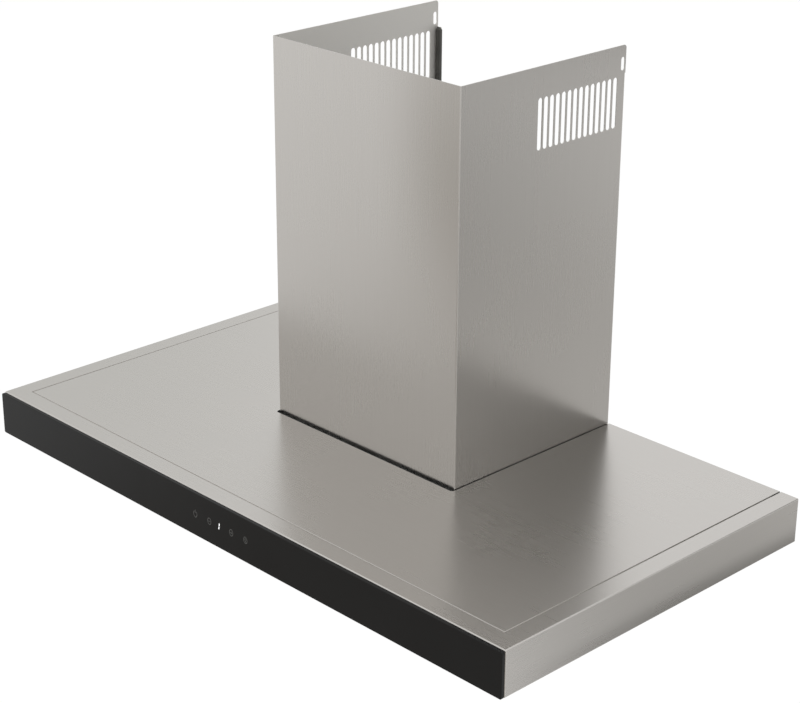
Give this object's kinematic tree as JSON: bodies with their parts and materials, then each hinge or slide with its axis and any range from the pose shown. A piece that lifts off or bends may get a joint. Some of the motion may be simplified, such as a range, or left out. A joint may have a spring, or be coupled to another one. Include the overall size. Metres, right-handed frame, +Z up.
{
  "type": "canopy range hood",
  "caption": "Wall-mounted T-shaped canopy range hood with a square chimney cover, a black glass touch front, tilting grease filters, a centrifugal blower and a damped duct outlet.",
  "frame": {"origin": "on the wall plane, in the middle of the four wall fixing holes of the canopy's rear panel", "axes": "+X to the right as seen from the room, +Y into the wall, +Z up"},
  "size_m": [0.898, 0.5028, 0.545],
  "materials": {
    "brushed_stainless": "brushed",
    "galvanised_steel": "galvanised, satin",
    "black_glass": "polished",
    "bonding_tape": "matt",
    "black_abs": "moulded, matt",
    "circuit_board": "solder mask",
    "sensor_foam": "foam",
    "display_resin": "cast",
    "ferrite_magnet": "sintered",
    "spring_steel": "bright",
    "capacitor_case": "moulded",
    "zinc_screw": "zinc plated",
    "fan_nylon": "moulded",
    "ground_steel": "ground",
    "motor_enamel": "enamelled",
    "bush_rubber": "extruded",
    "collar_abs": "moulded",
    "filter_aluminium": "rolled",
    "lamp_chrome": "polished",
    "lamp_opal": "opal",
    "sink_aluminium": "turned",
    "lead_pvc": "smooth"
  },
  "bodies": {
    "canopy": {"canopy_shell": "brushed_stainless", "top_panel": "brushed_stainless", "underside_panel": "brushed_stainless", "rear_panel": "galvanised_steel", "blower_deck": "galvanised_steel", "box_top": "galvanised_steel", "box_walls": "galvanised_steel", "box_ends": "galvanised_steel", "scroll_wrapper": "galvanised_steel", "scroll_side_left": "galvanised_steel", "scroll_side_right": "galvanised_steel", "motor_bracket": "galvanised_steel", "front_glass": "black_glass", "glass_tape": "bonding_tape", "touch_housing": "black_abs", "power_box": "black_abs", "power_lid": "black_abs", "cable_gland": "black_abs", "gland_nut": "black_abs", "touch_board": "circuit_board", "power_board": "circuit_board", "lamp_board_left": "circuit_board", "lamp_board_right": "circuit_board", "touch_sensors": "sensor_foam", "blower_gasket": "sensor_foam", "digit_display": "display_resin", "filter_catches": "ferrite_magnet", "lamp_clips": "spring_steel", "motor_capacitor": "capacitor_case", "box_screws": "zinc_screw", "motor_screws": "zinc_screw", "collar_screws": "zinc_screw", "motor": "motor_enamel", "motor_bushes": "bush_rubber", "outlet_collar": "collar_abs", "lamp_bezel_left": "lamp_chrome", "lamp_bezel_right": "lamp_chrome", "lamp_lens_left": "lamp_opal", "lamp_lens_right": "lamp_opal", "lamp_sink_left": "sink_aluminium", "lamp_sink_right": "sink_aluminium", "lamp_leads": "lead_pvc", "motor_lead": "lead_pvc", "touch_ribbon": "lead_pvc"},
    "fan": {"fan_wheel": "fan_nylon", "motor_shaft": "ground_steel"},
    "flap_front": {"damper_flap_front": "collar_abs"},
    "flap_rear": {"damper_flap_rear": "collar_abs"},
    "chimney": {"chimney_cover": "brushed_stainless", "edge_trims": "bush_rubber"},
    "filter_left": {"filter_frame_left": "filter_aluminium", "filter_mesh_left": "filter_aluminium", "filter_pull_left": "black_abs"},
    "filter_middle": {"filter_frame_middle": "filter_aluminium", "filter_mesh_middle": "filter_aluminium", "filter_pull_middle": "black_abs"},
    "filter_right": {"filter_frame_right": "filter_aluminium", "filter_mesh_right": "filter_aluminium", "filter_pull_right": "black_abs"}
  },
  "joints": [
    {"name": "fan_spin", "type": "hinge", "parent": "canopy", "child": "fan", "pos_m": [0, -0.167, 0.1332], "axis": [1, 0, 0], "continuous": true},
    {"name": "flap_front_open", "type": "hinge", "parent": "canopy", "child": "flap_front", "pos_m": [0, -0.098, 0.2712], "axis": [-1, 0, 0], "range_deg": [0, 75]},
    {"name": "flap_rear_open", "type": "hinge", "parent": "canopy", "child": "flap_rear", "pos_m": [0, -0.09, 0.2712], "axis": [1, 0, 0], "range_deg": [0, 75]},
    {"name": "chimney_lift", "type": "slide", "parent": "canopy", "child": "chimney", "axis": [0, 0, 1], "range_m": [0, 0.3]},
    {"name": "filter_left_tilt", "type": "hinge", "parent": "canopy", "child": "filter_left", "pos_m": [-0.282, -0.04, -0.023], "axis": [1, 0, 0], "range_deg": [0, 75]},
    {"name": "filter_middle_tilt", "type": "hinge", "parent": "canopy", "child": "filter_middle", "pos_m": [0, -0.04, -0.023], "axis": [1, 0, 0], "range_deg": [0, 75]},
    {"name": "filter_right_tilt", "type": "hinge", "parent": "canopy", "child": "filter_right", "pos_m": [0.282, -0.04, -0.023], "axis": [1, 0, 0], "range_deg": [0, 75]}
  ]
}
